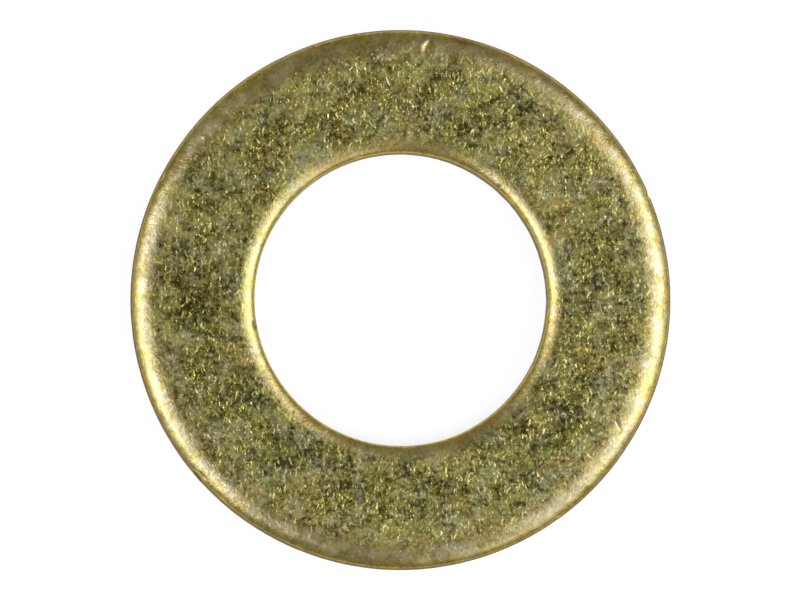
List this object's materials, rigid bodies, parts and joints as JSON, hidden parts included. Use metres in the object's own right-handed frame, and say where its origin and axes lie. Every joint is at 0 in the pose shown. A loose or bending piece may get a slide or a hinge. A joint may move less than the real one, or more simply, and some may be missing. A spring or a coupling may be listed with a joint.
{
  "type": "flat washer",
  "caption": "Round flat steel washer, yellow zinc plated, with a plain central bore, rolled-over upper edges and a flat bearing face.",
  "frame": {"origin": "centre of the bore on the flat bearing face, the underside", "axes": "+Z along the bore axis, from the bearing face towards the smooth face with the rolled-over edges; the part is round, so +X and +Y are free"},
  "size_m": [0.024, 0.024, 0.0025],
  "materials": {
    "yellow_zinc_steel": "barrel-plated zinc with an olive-gold chromate film, covered in fine short tumbling dents, darker and browner at the cut edges"
  },
  "bodies": {
    "root": {"flat_washer": "yellow_zinc_steel"}
  },
  "joints": []
}
